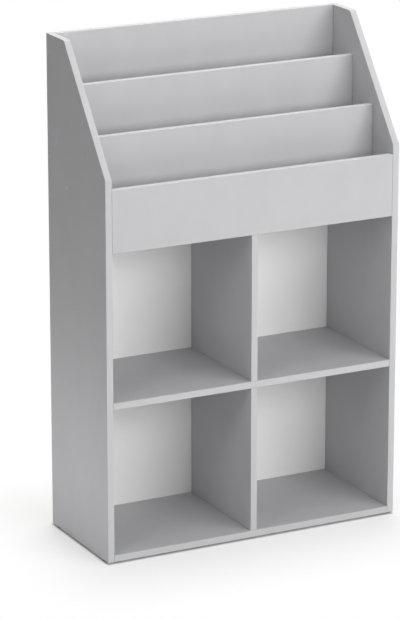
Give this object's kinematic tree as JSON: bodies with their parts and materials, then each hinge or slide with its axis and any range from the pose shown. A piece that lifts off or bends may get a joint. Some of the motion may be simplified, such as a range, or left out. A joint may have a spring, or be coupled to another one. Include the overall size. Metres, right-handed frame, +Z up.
{
  "type": "kids bookcase",
  "caption": "Free-standing kids bookcase in grey board: sloped sides carry stepped, cover-out book tiers with plain lips above open storage cubes with a thin white back.",
  "frame": {"origin": "on the floor, under the middle of the case's box", "axes": "+Z up, front facing -Y, +X to the right seen from the front"},
  "size_m": [0.705, 0.2874, 1.108],
  "materials": {
    "grey_melamine": "satin melamine-faced chipboard",
    "white_fibreboard": "matt white lacquered fibreboard",
    "zinc_plated_steel": "zinc plated",
    "beech": "raw",
    "dark_plastic": "moulded"
  },
  "bodies": {
    "root": {"left_side_panel": "grey_melamine", "right_side_panel": "grey_melamine", "bottom_panel": "grey_melamine", "middle_shelf": "grey_melamine", "upper_shelf": "grey_melamine", "lower_divider": "grey_melamine", "upper_divider": "grey_melamine", "front_lip": "grey_melamine", "middle_lip": "grey_melamine", "rear_lip": "grey_melamine", "middle_tier_shelf": "grey_melamine", "rear_tier_shelf": "grey_melamine", "upper_back_board": "grey_melamine", "back_panel": "white_fibreboard", "screw_left_bottom_front": "zinc_plated_steel", "screw_left_bottom_rear": "zinc_plated_steel", "screw_left_middle_shelf_front": "zinc_plated_steel", "screw_left_middle_shelf_rear": "zinc_plated_steel", "screw_left_upper_shelf_front": "zinc_plated_steel", "screw_left_upper_shelf_rear": "zinc_plated_steel", "screw_left_front_lip": "zinc_plated_steel", "screw_left_middle_lip": "zinc_plated_steel", "screw_left_middle_tier_shelf": "zinc_plated_steel", "screw_left_rear_lip": "zinc_plated_steel", "screw_left_rear_tier_shelf": "zinc_plated_steel", "screw_left_back_board_top": "zinc_plated_steel", "screw_left_back_board_foot": "zinc_plated_steel", "screw_right_bottom_front": "zinc_plated_steel", "screw_right_bottom_rear": "zinc_plated_steel", "screw_right_middle_shelf_front": "zinc_plated_steel", "screw_right_middle_shelf_rear": "zinc_plated_steel", "screw_right_upper_shelf_front": "zinc_plated_steel", "screw_right_upper_shelf_rear": "zinc_plated_steel", "screw_right_front_lip": "zinc_plated_steel", "screw_right_middle_lip": "zinc_plated_steel", "screw_right_middle_tier_shelf": "zinc_plated_steel", "screw_right_rear_lip": "zinc_plated_steel", "screw_right_rear_tier_shelf": "zinc_plated_steel", "screw_right_back_board_top": "zinc_plated_steel", "screw_right_back_board_foot": "zinc_plated_steel", "screw_lower_divider_front": "zinc_plated_steel", "screw_lower_divider_rear": "zinc_plated_steel", "screw_upper_divider_front": "zinc_plated_steel", "screw_upper_divider_rear": "zinc_plated_steel", "dowel_left_front_lip": "beech", "dowel_left_middle_lip": "beech", "dowel_left_rear_lip": "beech", "dowel_right_front_lip": "beech", "dowel_right_middle_lip": "beech", "dowel_right_rear_lip": "beech", "dowel_dividers_front": "beech", "dowel_dividers_rear": "beech", "glide_left_front": "dark_plastic", "glide_left_rear": "dark_plastic", "glide_right_front": "dark_plastic", "glide_right_rear": "dark_plastic", "glide_centre": "dark_plastic"}
  },
  "joints": []
}
